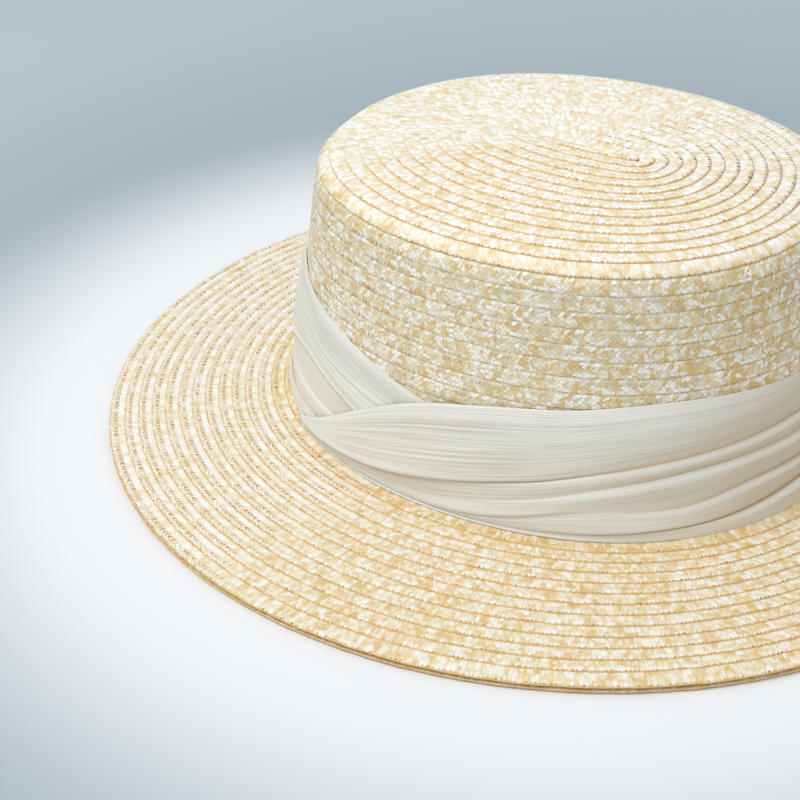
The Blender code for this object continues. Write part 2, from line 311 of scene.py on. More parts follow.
def straw_group():
    """Builds the group, with a colour, a roughness and a height in millimetres as its outputs."""
    tree = bpy.data.node_groups.new("plaited_straw", "ShaderNodeTree")
    for name, value in (
        ("Along", 0.0),
        ("Across", 0.5),
        ("Weave", 0.46),
        ("Splint", 0.002),
        ("Fine", 0.0),
        ("Whiteness", 0.5),
        ("Contrast", 0.5),
        ("Glints", 0.0),
        ("Grey", 0.0),
        ("Line", 1.0),
        ("Holes", 0.5),
        ("Dots", 0.0),
        ("Tilt", 0.2),
    ):
        tree.interface.new_socket(name=name, in_out="INPUT", socket_type="NodeSocketFloat").default_value = value
    for name, kind in (("Colour", "Color"), ("Roughness", "Float"), ("Height", "Float")):
        tree.interface.new_socket(name=name, in_out="OUTPUT", socket_type="NodeSocket" + kind)
    given = tree.nodes.new("NodeGroupInput").outputs
    along, across = given["Along"], given["Across"]

    def chance(x, y=0.0, z=0.0):
        """One even random value for each whole-numbered place."""
        return node(tree, "ShaderNodeTexWhiteNoise", {"Vector": vector(tree, x, y, z)}).outputs["Value"]

    def slow(scale, detail=1.0, shift=0.0):
        """Smooth noise along the plait, about scale changes a metre."""
        place = calc(tree, "ADD", along, shift)
        inputs = {"W": place, "Scale": scale, "Detail": detail, "Roughness": 0.6}
        return node(tree, "ShaderNodeTexNoise", inputs, noise_dimensions="1D").outputs["Fac"]

    def streaks(along_scale, across_scale, shift=0.0, detail=2.0):
        """Smooth noise along and across the plait."""
        shifted = calc(tree, "MULTIPLY_ADD", along, along_scale, shift)
        place = vector(tree, shifted, calc(tree, "MULTIPLY", across, across_scale))
        inputs = {"Vector": place, "Scale": 1.0, "Detail": detail}
        return node(tree, "ShaderNodeTexNoise", inputs, noise_dimensions="2D").outputs["Fac"]

    def less_one(value):
        return calc(tree, "SUBTRACT", 1.0, value)

    def from_half(value):
        return calc(tree, "SUBTRACT", value, 0.5)

    def times(*values):
        result = values[0]
        for value in values[1:]:
            result = calc(tree, "MULTIPLY", result, value)
        return result

    def plus(*values):
        result = values[0]
        for value in values[1:]:
            result = calc(tree, "ADD", result, value)
        return result

    def facets(x, y, **settings):
        """Rounded cells of random shape: the node, and three random values of each cell."""
        inputs = {"Vector": vector(tree, x, y), "Scale": 1.0, "Randomness": 1.0}
        made = node(tree, "ShaderNodeTexVoronoi", inputs, voronoi_dimensions="2D", **settings)
        return made, node(tree, "ShaderNodeSeparateColor", {0: made.outputs["Color"]}).outputs

    # Whole splints across the row, soft at their edges
    beat = plus(calc(tree, "DIVIDE", along, given["Splint"]), times(slow(260.0, shift=41.0), 1.8))
    splint, splint_part = facets(plus(beat, times(across, 0.4)), times(across, 1.7), feature="SMOOTH_F1")
    splint.inputs["Smoothness"].default_value = 0.25
    splint_tone = splint_part[0]
    splint_crown = ease(tree, splint.outputs["Distance"], 0.70, 0.15)

    # Narrow crossing splints: the cell's two bias coordinates say which set lies on top
    fine = given["Fine"]
    tooth = plus(calc(tree, "DIVIDE", along, TOOTH), times(slow(130.0), 2.4))
    row = calc(tree, "DIVIDE", calc(tree, "SUBTRACT", across, given["Weave"]), WEAVE_CELL)
    cells, cell_row = times(plus(tooth, times(slow(420.0, shift=23.0), 1.2)), 0.8), times(row, 0.8)
    bias_a, bias_b = plus(cells, cell_row), calc(tree, "SUBTRACT", cells, cell_row)
    cell_a, cell_b = calc(tree, "FLOOR", bias_a), calc(tree, "FLOOR", bias_b)
    in_a, in_b = calc(tree, "FRACT", bias_a), calc(tree, "FRACT", bias_b)
    odd = calc(tree, "FLOORED_MODULO", plus(cell_a, cell_b), 2.0)
    in_width = plus(times(in_a, odd), times(in_b, less_one(odd)))
    in_length = plus(times(in_b, odd), times(in_a, less_one(odd)))
    ridge = calc(tree, "POWER", calc(tree, "SINE", times(in_width, math.pi)), 0.55)
    dive = calc(tree, "POWER", calc(tree, "SINE", times(in_length, math.pi)), 0.35)
    crown = times(ridge, dive)
    woven = times(ease(tree, row, -0.12, 0.12), fine)

    # Painted highlights: small facets where splints bend, slanting ones in the row and long ones on its edge, turn
    # white
    chevron = calc(tree, "ABSOLUTE", from_half(across))
    facet_at = plus(calc(tree, "DIVIDE", along, GLINT_WIDTH), times(chevron, 2.6), times(slow(330.0, shift=29.0), 1.5))
    facet, facet_part = facets(facet_at, times(across, 2.8))
    facet_tone, facet_grey, facet_lift = facet_part[0], facet_part[1], facet_part[2]
    glint_shape = ease(tree, facet.outputs["Distance"], 0.62, 0.38)
    edge_highlight_at = plus(calc(tree, "DIVIDE", along, EDGE_GLINT), times(slow(200.0, shift=47.0), 2.0))
    edge_highlight_shape = ease(tree, calc(tree, "ABSOLUTE", from_half(calc(tree, "FRACT", edge_highlight_at))), 0.46, 0.36)
    on_edge = times(ease(tree, across, 0.66, 0.74), ease(tree, across, 0.92, 0.88))
    edge_highlight = times(ease(tree, chance(calc(tree, "FLOOR", edge_highlight_at), 53.0), 0.52, 0.60), edge_highlight_shape, on_edge)
    glint = calc(tree, "MAXIMUM", times(ease(tree, facet_tone, 0.58, 0.68), glint_shape, less_one(on_edge)), edge_highlight)
    glint = times(glint, ease(tree, slow(70.0, shift=61.0), 0.36, 0.54, 0.45, 1.0), given["Glints"])

    # Tone of the straw, from golden to white
    streak_tone = ease(tree, streaks(300.0, 1.1), 0.36, 0.64)
    grain = streaks(520.0, 17.0, shift=5.0)
    narrow = plus(times(from_half(chance(cell_a, cell_b, 3.0)), 0.55, woven),
                  times(from_half(streak_tone), ease(tree, woven, 0.0, 1.0, 0.65, 0.45)))
    whole = plus(times(from_half(splint_tone), 1.1), times(from_half(streak_tone), 0.35))
    tone = times(plus(times(narrow, fine), times(whole, less_one(fine))), given["Contrast"])
    tone = plus(tone, times(from_half(facet_lift), given["Glints"], 0.55))
    patch = times(from_half(slow(105.0, detail=2.0, shift=7.0)), ease(tree, given["Glints"], 0.3, 0.9, 0.55, 1.3))
    tone = plus(tone, given["Whiteness"], patch)
    tone = plus(tone, times(from_half(grain), 0.40))
    colour = ramp(tree, tone, STRAW_TONES)
    grey_strip = times(ease(tree, streaks(150.0, 0.9, shift=31.0), 0.46, 0.60), ease(tree, across, 0.75, 0.45))
    grey_facet = ease(tree, facet_grey, 0.62, 0.72, 0.0, 0.8)
    grey = times(calc(tree, "MAXIMUM", grey_strip, grey_facet), given["Grey"])
    colour = mix(tree, grey, colour, GREY_STRAW)
    # Painted highlights, mixed in as white
    colour = mix(tree, glint, colour, PAINTED_GLINT_COLOUR)

    # Painted golden shade in the gaps between the crossing splints and where the whole splints meet, small
    # golden-brown openings between the crossing splints, and a wavy ochre line with some dark dots at the edge
    # seam: painted shade where the whole splints meet
    seam = times(ease(tree, splint_crown, 0.45, 0.0), less_one(fine), 0.42)
    gap_shade = calc(tree, "MAXIMUM", times(ease(tree, crown, 0.70, 0.20), woven, 0.75), seam)
    colour = mix(tree, gap_shade, colour, GAP_SHADE_COLOUR)
    hole_row = times(ease(tree, row, -0.15, 0.15), ease(tree, row, 1.25, 0.80))
    lean = times(calc(tree, "ABSOLUTE", calc(tree, "SUBTRACT", row, HOLE_BEND)), 0.7)
    leaning = calc(tree, "FRACT", plus(tooth, lean))
    between = ease(tree, calc(tree, "ABSOLUTE", from_half(leaning)), 0.22, 0.33)
    hole_here = ease(tree, slow(120.0, detail=2.0, shift=11.0), 0.64, 0.48)
    open_here = calc(tree, "LESS_THAN", chance(calc(tree, "FLOOR", tooth), 7.0), given["Holes"])
    hole = times(hole_row, between, open_here, hole_here, fine)
    hole_colour = mix(tree, chance(calc(tree, "FLOOR", tooth), 19.0), *HOLE_COLOURS)
    colour = mix(tree, hole, colour, hole_colour)

    # The row's edge line: partly the straw's ochre edge, partly painted shadow along the row's stepped edge
    wave = calc(tree, "SINE", times(calc(tree, "FRACT", beat), math.pi))
    line_start = calc(tree, "MULTIPLY_ADD", wave, LINE_WAVE, LINE_START)
    line = ease(tree, calc(tree, "SUBTRACT", across, line_start), -0.015, 0.045)
    line = times(line, given["Line"], ease(tree, slow(170.0, detail=2.0, shift=13.0), 0.34, 0.56, 0.20, 1.0))
    dark = times(ease(tree, wave, 0.85, 0.4), ease(tree, slow(140.0, detail=2.0, shift=17.0), 0.50, 0.66))
    line_colour = mix(tree, dark, *EDGE_LINE_AND_SHADOW_COLOURS)
    # Painted light: the shaded edge wall is painted a brighter gold, and rim paints the line onto the wall
    line_colour = mix(tree, ease(tree, across, 0.965, 0.995), line_colour, EDGE_WALL_PAINTED_LIGHT)
    rim = times(ease(tree, across, 0.95, 0.985), ease(tree, across, 1.12, 1.08), given["Line"], 0.8)
    line = calc(tree, "MAXIMUM", line, rim)
    colour = mix(tree, line, colour, line_colour)
    dot = times(ease(tree, wave, 0.75, 0.45), ease(tree, across, 0.72, 0.80), given["Dots"])
    colour = mix(tree, times(dot, ease(tree, slow(90.0, shift=71.0), 0.36, 0.50)), colour, DOT_COLOUR)

    # Relief in millimetres
    tilt_a = times(from_half(chance(cell_a, cell_b, 13.0)), in_a)
    tilt_b = times(from_half(chance(cell_a, cell_b, 17.0)), in_b)
    height = times(plus(times(crown, WOVEN_RELIEF), times(plus(tilt_a, tilt_b), given["Tilt"])), woven)
    whole_height = times(splint_crown, SPLINT_RELIEF, less_one(fine))
    height = plus(height, whole_height, times(facet_lift, given["Glints"], FACET_RELIEF))
    height = plus(height, times(grain, GRAIN_RELIEF))
    height = calc(tree, "SUBTRACT", height, times(hole, HOLE_DEPTH))
    rough = calc(tree, "ADD", calc(tree, "MULTIPLY_ADD", facet_tone, 0.22, 0.24), times(line, 0.25), clamp=True)
    put = tree.nodes.new("NodeGroupOutput")
    for name, value in (("Colour", colour), ("Roughness", rough), ("Height", height)):
        tree.links.new(value, put.inputs[name])
    return tree


STRAW = straw_group()


def straw_material(name, tint, relief, **values):
    """Plaited straw read from the piece's own UV map. tint multiplies the colour; relief is the bump's strength."""
    material = bpy.data.materials.new(name)
    material.use_nodes = True
    tree = material.node_tree
    shader = tree.nodes["Principled BSDF"]
    place = node(tree, "ShaderNodeUVMap", uv_map="plait")
    split = node(tree, "ShaderNodeSeparateXYZ", {0: place.outputs[0]})
    straw = node(tree, "ShaderNodeGroup", node_tree=STRAW)
    tree.links.new(split.outputs[0], straw.inputs["Along"])
    tree.links.new(split.outputs[1], straw.inputs["Across"])
    for key, value in values.items():
        straw.inputs[key.capitalize()].default_value = value
    tree.links.new(mix(tree, 1.0, straw.outputs["Colour"], tint, "MULTIPLY"), shader.inputs["Base Color"])
    tree.links.new(straw.outputs["Roughness"], shader.inputs["Roughness"])
    bump = node(tree, "ShaderNodeBump", {"Strength": relief, "Distance": 0.001, "Height": straw.outputs["Height"]})
    tree.links.new(bump.outputs["Normal"], shader.inputs["Normal"])
    shader.inputs["Specular IOR Level"].default_value = 0.5
    return material


def towards(tree, degrees, low, high):
    """1 on the part of the hat on this side of its axis, eased from one cosine to another."""
    place = node(tree, "ShaderNodeTexCoord").outputs["Object"]
    flat = node(tree, "ShaderNodeVectorMath", {0: place, 1: (1, 1, 0)}, operation="MULTIPLY").outputs[0]
    unit = node(tree, "ShaderNodeVectorMath", {0: flat}, operation="NORMALIZE").outputs[0]
    way = (math.sin(math.radians(degrees)), -math.cos(math.radians(degrees)), 0)
    cosine = node(tree, "ShaderNodeVectorMath", {0: unit, 1: way}, operation="DOT_PRODUCT").outputs["Value"]
    return ease(tree, cosine, low, high)


def feed(material, **values):
    """Links values to inputs of the material's straw group."""
    for key, value in values.items():
        material.node_tree.links.new(value, material.node_tree.nodes["Group"].inputs[key.capitalize()])


WHITE = (1.0, 1.0, 1.0)
TIP_TURNS = (-0.42, 14.40)
SIDE_TURNS = (14.40, 22.60)
COVERED_TURNS = (22.60, 30.10)
SHOULDER_LEVEL, TIP_LEVEL = 0.0855, 0.0885

tip_straw = straw_material(
    "tip_straw", WHITE, 0.7,
    weave=0.46, splint=0.0015, holes=0.0, tilt=0.2,
)
tree = tip_straw.node_tree
# The row-edge line, partly painted shadow, is painted strong on the side at 130 degrees and faint on the far side
near_side = ease(tree, towards(tree, 130, -0.35, 0.25), 0.0, 1.0, 0.2, 1.0)
feed(tip_straw, dots=towards(tree, 214, 0.74, 0.93), line=near_side)
place = node(tree, "ShaderNodeTexCoord").outputs["Object"]
level = node(tree, "ShaderNodeSeparateXYZ", {0: place}).outputs[2]
# Whiteness falls from the tip down to the shoulder: painted shade on the shoulder's rounded rows, where the painted
# glints also grow
feed(
    tip_straw,
    whiteness=ease(tree, level, SHOULDER_LEVEL, TIP_LEVEL, 0.42, 0.77),
    fine=ease(tree, level, SHOULDER_LEVEL, TIP_LEVEL, 0.55, 0.0),
    glints=ease(tree, level, SHOULDER_LEVEL, TIP_LEVEL, 0.7, 0.20),
    contrast=ease(tree, level, SHOULDER_LEVEL, TIP_LEVEL, 1.0, 0.70),
)
side_straw = straw_material(
    "side_straw", WHITE, 1.0,
    weave=0.20, splint=0.0015, fine=0.5, contrast=0.8, glints=1.0, holes=0.4, tilt=0.5,
)
tree = side_straw.node_tree
# Towards the side at 200 degrees the straw is painted darker and less grey, with stronger edge lines: painted shade on
# the side away from the window
to_right = ease(tree, towards(tree, 200, 0.0, 0.9), 0.0, 1.0, 0.15, 1.0)
feed(
    side_straw,
    line=to_right,
    dots=calc(tree, "MULTIPLY", towards(tree, 30, 0.3, 0.95), 0.7),
    whiteness=ease(tree, to_right, 0.6, 1.0, 0.39, 0.22),
    grey=ease(tree, to_right, 0.6, 1.0, 0.60, 0.30),
)
crown_tip = sew_plait("crown_tip_plait", crown_plait, *TIP_TURNS, seed=11)
crown_side = sew_plait("crown_side_plait", crown_plait, *SIDE_TURNS, seed=21, start=5.0, puff=0.40)
crown_covered = sew_plait(
    "crown_covered_plait", crown_plait, *COVERED_TURNS, seed=31, step=2 * ALONG_STEP, start=11.0, puff=0.55
)
for piece, material in ((crown_tip, tip_straw), (crown_side, side_straw), (crown_covered, side_straw)):
    piece.data.materials.append(material)
    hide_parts("crown")

# Brim plait
# The same plait goes on from the crown's foot as a flat spiral. Its last turn follows the brim's outline, where the
# plait's end tapers off under the row before it, and the rows lie a little closer at the front and back.
BRIM_LINE_ANGLE = 60
BRIM_FIRST_LINE = -0.0008
BRIM_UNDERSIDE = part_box("brim")[0].z
BRIM_RISE = 0.0014
BRIM_CURL = 0.0022
CURL_START = 0.002
CURL_REACH = 0.006
TAPER_START = 12.15
TAPER_TURNS = 0.55
LEAST_ROW = 0.0008
STRAW_WALL = 0.0016


def brim_line(turns):
    """Half width of the row's outer edge at this many turns from the crown."""
    spiral = TURN_HALF_WIDTH + BRIM_FIRST_LINE + ROW_PITCH * turns
    share = np.clip((turns - TAPER_START) / TAPER_TURNS, 0, 1)
    share = share * share * (3 - 2 * share)
    return np.minimum(spiral * (1 - share) + BRIM_HALF_WIDTH * share, BRIM_HALF_WIDTH)


def brim_plait(turns, across, lift):
    """Points of the brim's spiral, like crown_plait's."""
    outer = brim_line(turns)
    inner = brim_line(turns - 1)
    half_width = inner + across * np.maximum(outer - inner, LEAST_ROW)
    rise = BRIM_RISE * (BRIM_HALF_WIDTH - half_width) / (BRIM_HALF_WIDTH - FOOT_HALF_WIDTH)
    curl = BRIM_CURL * np.clip((TURN_HALF_WIDTH + CURL_START - half_width) / CURL_REACH, 0, 1.1) ** 2
    height = BRIM_UNDERSIDE + STRAW_WALL - SETTLE + rise + curl + lift
    return on_oval(half_width, height, BRIM_LINE_ANGLE - 360 * turns)


BRIM_INNER_TURNS = (-0.30, 7.10)
BRIM_OUTER_TURNS = (7.10, 13.62)
brim_straw = straw_material(
    "brim_straw", (0.96, 0.95, 0.925), 0.6,
    weave=0.46, splint=0.0013, contrast=0.78, glints=0.30, line=0.95, holes=0.9, tilt=0.15,
)
tree = brim_straw.node_tree
narrow = ease(tree, towards(tree, 150, 0.15, 0.50), 1.0, 0.0)
along = tree.nodes["Separate XYZ"].outputs[0]
# Paler where the fine weave shows, and darker on the first rows by the crown: painted shade at the foot of the band
pale = calc(tree, "MULTIPLY_ADD", narrow, 0.22, ease(tree, along, 17.5, 18.6, 0.22, 0.58))
feed(brim_straw, fine=narrow, whiteness=pale)
brim_inner = sew_plait("brim_inner_plait", brim_plait, *BRIM_INNER_TURNS, seed=41, start=17.0)
brim_outer = sew_plait("brim_outer_plait", brim_plait, *BRIM_OUTER_TURNS, seed=51, start=24.0)
for piece in (brim_inner, brim_outer):
    piece.data.materials.append(brim_straw)
    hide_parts("brim")

# Edge row
# One more row of plait is sewn under the brim's outer edge. It stiffens the edge, stands a hair outside it, and the
# hat rests on it, so that only its tan edge shows.
EDGE_ROW_WIDTH = 0.0060
EDGE_ROW_SHOW = 0.0001
EDGE_ROW_LIFT = 0.00075
EDGE_ROW_PRESS = 0.7
EDGE_ROW_START = 200


def edge_plait(turns, across, lift):
    """Points of one ring under the brim's edge, pressed a little flat."""
    half_width = BRIM_HALF_WIDTH + EDGE_ROW_SHOW - (1 - across) * EDGE_ROW_WIDTH
    height = EDGE_ROW_LIFT + lift * EDGE_ROW_PRESS
    return on_oval(half_width, height, EDGE_ROW_START - 360 * turns)


edge_straw = straw_material(
    "edge_straw", (0.90, 0.82, 0.70), 1.0,
    weave=0.46, splint=0.0018, whiteness=0.45, contrast=0.5, line=0.5, holes=0.2, tilt=0.2,
)
brim_edge = sew_plait("brim_edge_plait", edge_plait, 0, 0.9995, seed=61, start=32.0)
brim_edge.data.materials.append(edge_straw)
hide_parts("brim_edge_row")

# Silk band
# A bias strip of raw silk, wrapped once round the crown and laid in soft pleats. It starts under its own end, and
# the end is drawn down to a corner at the wearer's front left and stitched behind its lowest pleat.
BAND_HEIGHT = 0.0460
BAND_DROP = 0.0014
BAND_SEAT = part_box("band")[0].z - SETTLE - BAND_DROP
FLARE_HEIGHT = 0.012
SILK_THICKNESS = 0.0005
BAND_INSIDE = 0.0006
LAP_LIFT = 0.0018
TIGHT_TOP = 0.00045
ROLL_RADIUS = 0.0011
BAND_STEPS = 410
PANEL_SHARES = (0.0, 0.02, 0.06, 0.12, 0.20, 0.32, 0.46, 0.60, 0.74, 0.85, 0.92, 0.97)
PANEL_WIDTHS = (0.0060, 0.0080, 0.0100, 0.0080, 0.0160)
PANEL_BULGES = (0.65, 0.65, 0.65, 0.65, 0.6)
BULGE_SLOPE = 40
LAST_PANEL = len(PANEL_WIDTHS) - 1
LOWEST_DEPTH = 0.6
# Painted shadow in each fold's crease: its strength and width
CREASE_SHADOW_STRENGTH = (0.0, 1.0, 0.7, 0.2, 0.65)
CREASE_SHADOW_WIDTH = 0.0003
# Painted highlight along the rolled edge beside a fold
RIDGE_HIGHLIGHT_WIDTH = 0.0012
RIDGE_HIGHLIGHT_ABOVE, RIDGE_HIGHLIGHT_BELOW = 0.0018, 0.0016
FOLD_SHADE_REACH = 0.0045
# Painted shade under the folds, and a painted warm shade on the band's shaded side, by angle from the front towards
# the wearer's right
TUCK_SHADE = (-60, 60, 205, 232, 250, 275), (0.5, 1.0, 1.3, 0.7, 0.15, 0.6)
SIDE_SHADE_TABLE = (0, 150, 190, 210, 240), (0.15, 0.9, 0.9, 0.5, 0.05)

# Fold lines as shares of the band's height, from the end that lies under to the end that lies over
FOLD_COLUMNS = ("angle", "lift", "fold_1", "fold_2", "fold_3", "fold_4", "top")
FOLD_TABLE = (
    (104, 0.0, 0.12, 0.20, 0.27, 0.46, 0.60),
    (89, 0.0, 0.12, 0.22, 0.30, 0.56, 0.71),
    (78, 0.0, 0.12, 0.23, 0.34, 0.64, 0.80),
    (70, 0.0, 0.12, 0.25, 0.43, 0.68, 0.87),
    (61, 0.0, 0.12, 0.27, 0.50, 0.72, 0.93),
    (54, 0.0, 0.12, 0.28, 0.55, 0.80, 0.97),
    (49, 0.0, 0.12, 0.28, 0.54, 0.93, 0.985),
    (44, 0.0, 0.12, 0.28, 0.49, 0.95, 1.03),
    (41, 0.0, 0.12, 0.28, 0.465, 0.955, 1.05),
    (37, 0.0, 0.13, 0.27, 0.42, 0.95, 1.05),
    (33, 0.0, 0.14, 0.26, 0.40, 0.93, 1.04),
    (20, 0.0, 0.14, 0.27, 0.42, 0.84, 1.03),
    (0, 0.0, 0.14, 0.30, 0.46, 0.76, 1.01),
    (-45, 0.0, 0.15, 0.33, 0.52, 0.74, 0.99),
    (-90, 0.0, 0.16, 0.35, 0.55, 0.73, 0.97),
    (-150, 0.0, 0.27, 0.41, 0.57, 0.70, 0.93),
    (-180, 0.0, 0.24, 0.38, 0.55, 0.69, 0.92),
    (-194, 0.1, 0.19, 0.345, 0.531, 0.67, 0.925),
    (-206, 0.3, 0.135, 0.328, 0.515, 0.635, 0.938),
    (-211, 0.4, 0.11, 0.305, 0.507, 0.618, 0.948),
    (-219, 0.5, 0.085, 0.230, 0.485, 0.588, 0.955),
    (-229, 0.8, 0.067, 0.205, 0.435, 0.545, 0.945),
    (-238, 1.0, 0.047, 0.212, 0.37, 0.485, 0.915),
    (-241, 1.0, 0.040, 0.204, 0.34, 0.465, 0.895),
    (-247, 1.0, 0.030, 0.155, 0.27, 0.400, 0.875),
    (-255, 1.0, 0.015, 0.075, 0.20, 0.335, 0.845),
    (-264, 1.0, 0.008, 0.022, 0.12, 0.250, 0.79),
    (-271, 1.0, 0.005, 0.012, 0.08, 0.185, 0.73),
    (-278, 1.0, 0.004, 0.010, 0.05, 0.125, 0.62),
    (-283, 1.0, 0.004, 0.008, 0.03, 0.095, 0.52),
    (-289, 1.0, 0.003, 0.006, 0.02, 0.065, 0.38),
    (-296, 1.0, 0.002, 0.004, 0.012, 0.034, 0.21),
    (-306, 1.0, 0.001, 0.002, 0.005, 0.010, 0.03),
)
# How deep each fold is and how far the lower edge flares out, in millimetres, and which panel of a fold lies over:
# 1 the upper one, -1 the lower one
RELIEF_COLUMNS = ("angle", "flare", "deep_1", "deep_2", "deep_3", "deep_4", "over_1", "over_2", "over_3", "over_4")
RELIEF_TABLE = (
    (104, 0.0, 0.3, 0.2, 0.6, 0.0, -1.0, -1.0, 1.0, 0.0),
    (60, 0.2, 0.4, 0.3, 1.0, 0.0, -1.0, -1.0, 1.0, 0.0),
    (49, 0.2, 0.5, 0.3, 1.4, 0.0, -1.0, -1.0, 1.0, 0.2),
    (43, 0.2, 0.6, 0.4, 1.4, 1.2, -1.0, -1.0, 1.0, 0.2),
    (36, 0.2, 0.9, 0.5, 1.3, 1.4, -1.0, -1.0, 1.0, 0.2),
    (10, 0.3, 1.0, 0.8, 1.0, 0.9, -1.0, -1.0, 0.0, -1.0),
    (-90, 0.4, 1.1, 1.0, 1.1, 1.0, -1.0, -1.0, -1.0, -1.0),
    (-180, 0.6, 1.3, 1.0, 1.3, 1.2, -1.0, -1.0, -1.0, -1.0),
    (-204, 0.6, 1.3, 1.0, 1.3, 1.1, -0.8, -1.0, -0.5, -1.0),
    (-229, 0.3, 0.9, 0.4, 1.2, 1.1, 0.6, -1.0, -0.5, -1.0),
    (-238, 0.2, 0.7, 0.0, 1.0, 1.3, 1.0, -0.2, -1.0, -0.7),
    (-241, 0.2, 0.6, 0.3, 0.9, 1.3, 1.0, 1.0, -1.0, -0.5),
    (-250, 0.3, 0.3, 0.8, 0.4, 1.3, 1.0, 1.0, -1.0, 0.1),
    (-262, 0.2, 0.0, 0.6, 0.0, 1.4, 1.0, 1.0, 0.0, 0.8),
    (-275, 0.2, 0.0, 0.0, 0.0, 1.6, 1.0, 1.0, 0.0, 1.0),
    (-283, 0.2, 0.0, 0.0, 0.0, 1.4, 1.0, 1.0, 0.0, 1.0),
    (-289, 0.2, 0.0, 0.0, 0.0, 1.1, 1.0, 1.0, 0.0, 1.0),
    (-296, 0.2, 0.0, 0.0, 0.0, 0.8, 1.0, 1.0, 0.0, 1.0),
    (-306, 0.1, 0.0, 0.0, 0.0, 0.4, 1.0, 1.0, 0.0, 1.0),
)


def read_table(columns, rows, angle):
    """Each column of a table, eased round this angle; its angles fall from row to row."""
    numbers = np.array(rows)
    near = -angle + np.array([-4, -2, 0, 2, 4])
    return {name: np.interp(near, -numbers[:, 0], numbers[:, i]).mean() for i, name in enumerate(columns)}


def roll(distance, radius):
    """Rounds a panel off towards a fold: 0 at the fold, 1 past the roll's radius."""
    return np.sqrt(np.clip(1 - np.square(1 - np.clip(distance / radius, 0, 1)), 0, 1))


def bell(distance, width):
    """A smooth bump of height 1 round distance 0."""
    return math.exp(-((distance / width) ** 2))


def band_section(angle):
    """Height, outward offset, width coordinate, painted crease shadow, painted ridge highlight and painted shade of
    the silk across the band at this angle.
    """
    fold = read_table(FOLD_COLUMNS, FOLD_TABLE, angle)
    relief = read_table(RELIEF_COLUMNS, RELIEF_TABLE, angle)
    levels = [0.0, *(fold[f"fold_{i}"] for i in (1, 2, 3, 4)), fold["top"]]
    levels = BAND_SEAT + BAND_HEIGHT * np.array(levels)
    deep = np.array([LOWEST_DEPTH, *(relief[f"deep_{i}"] for i in (1, 2, 3, 4)), 0.0])
    over = np.array([1.0, *(relief[f"over_{i}"] for i in (1, 2, 3, 4)), -1.0])
    above, below = deep * (1 + over) / 2, deep * (1 - over) / 2
    base = BAND_INSIDE + SILK_THICKNESS + fold["lift"] * LAP_LIFT
    loose = fold["lift"] * LAP_LIFT * 0.75 * min(max((angle + 271) / 15, 0), 1)
    # Strengths of the painted shade under the folds and of the painted warm shade on the band's shaded side, by angle
    tucked = np.interp(-angle, *TUCK_SHADE)
    tan = np.interp(-angle, *SIDE_SHADE_TABLE)
    rows = []
    for panel in range(LAST_PANEL + 1):
        low, high = levels[panel], levels[panel + 1]
        wide = high - low
        shares = PANEL_SHARES if panel < LAST_PANEL else (*PANEL_SHARES, 1.0)
        for share in shares:
            height = low + share * wide
            ease_share = share * share * (3 - 2 * share)
            rest = above[panel] * (1 - ease_share) + below[panel + 1] * ease_share
            rest += min(wide * BULGE_SLOPE, PANEL_BULGES[panel]) * math.sin(math.pi * share)
            radius = max(min(ROLL_RADIUS, 0.42 * wide), 1e-6)
            round_low = roll(share * wide, radius) if panel else 0.75 + 0.25 * roll(share * wide, radius)
            round_high = roll((1 - share) * wide, radius) if panel < LAST_PANEL else 1.0
            flare = relief["flare"] * max(0, 1 - (height - BAND_SEAT) / FLARE_HEIGHT) ** 2
            offset = base + (flare + rest * round_low * round_high) / 1000
            if panel == LAST_PANEL:
                offset -= loose * np.interp(share, (0.55, 1), (0, 1)) + TIGHT_TOP * np.interp(share, (0.7, 1), (0, 1))
            width = sum(PANEL_WIDTHS[:panel]) + share * PANEL_WIDTHS[panel]
            below_it = share * wide
            above_it = (1 - share) * wide
            # Painted shadow along the crease
            crease_shadow = CREASE_SHADOW_STRENGTH[panel] * min(deep[panel], 1) * bell(below_it, CREASE_SHADOW_WIDTH)
            # Painted highlight on the roll beside the fold
            ridge = above[panel] * bell(below_it - RIDGE_HIGHLIGHT_ABOVE, RIDGE_HIGHLIGHT_WIDTH) if panel else 0
            # Painted shade on the panel where it dips under its neighbour
            painted_shade = below[panel] * math.exp(-below_it / FOLD_SHADE_REACH) if panel else 0
            if panel < LAST_PANEL:
                other = CREASE_SHADOW_STRENGTH[panel + 1] * min(deep[panel + 1], 1) * bell(above_it, CREASE_SHADOW_WIDTH)
                crease_shadow = max(crease_shadow, other)
                ridge = max(ridge, below[panel + 1] * bell(above_it - RIDGE_HIGHLIGHT_BELOW, RIDGE_HIGHLIGHT_WIDTH))
                painted_shade = max(painted_shade, above[panel + 1] * math.exp(-above_it / FOLD_SHADE_REACH))
            # The last value is the painted shade: the shade under the folds plus the warm shade of the shaded side
            rows.append((height, offset, width, crease_shadow, ridge, painted_shade * tucked + tan))
    return np.array(rows)


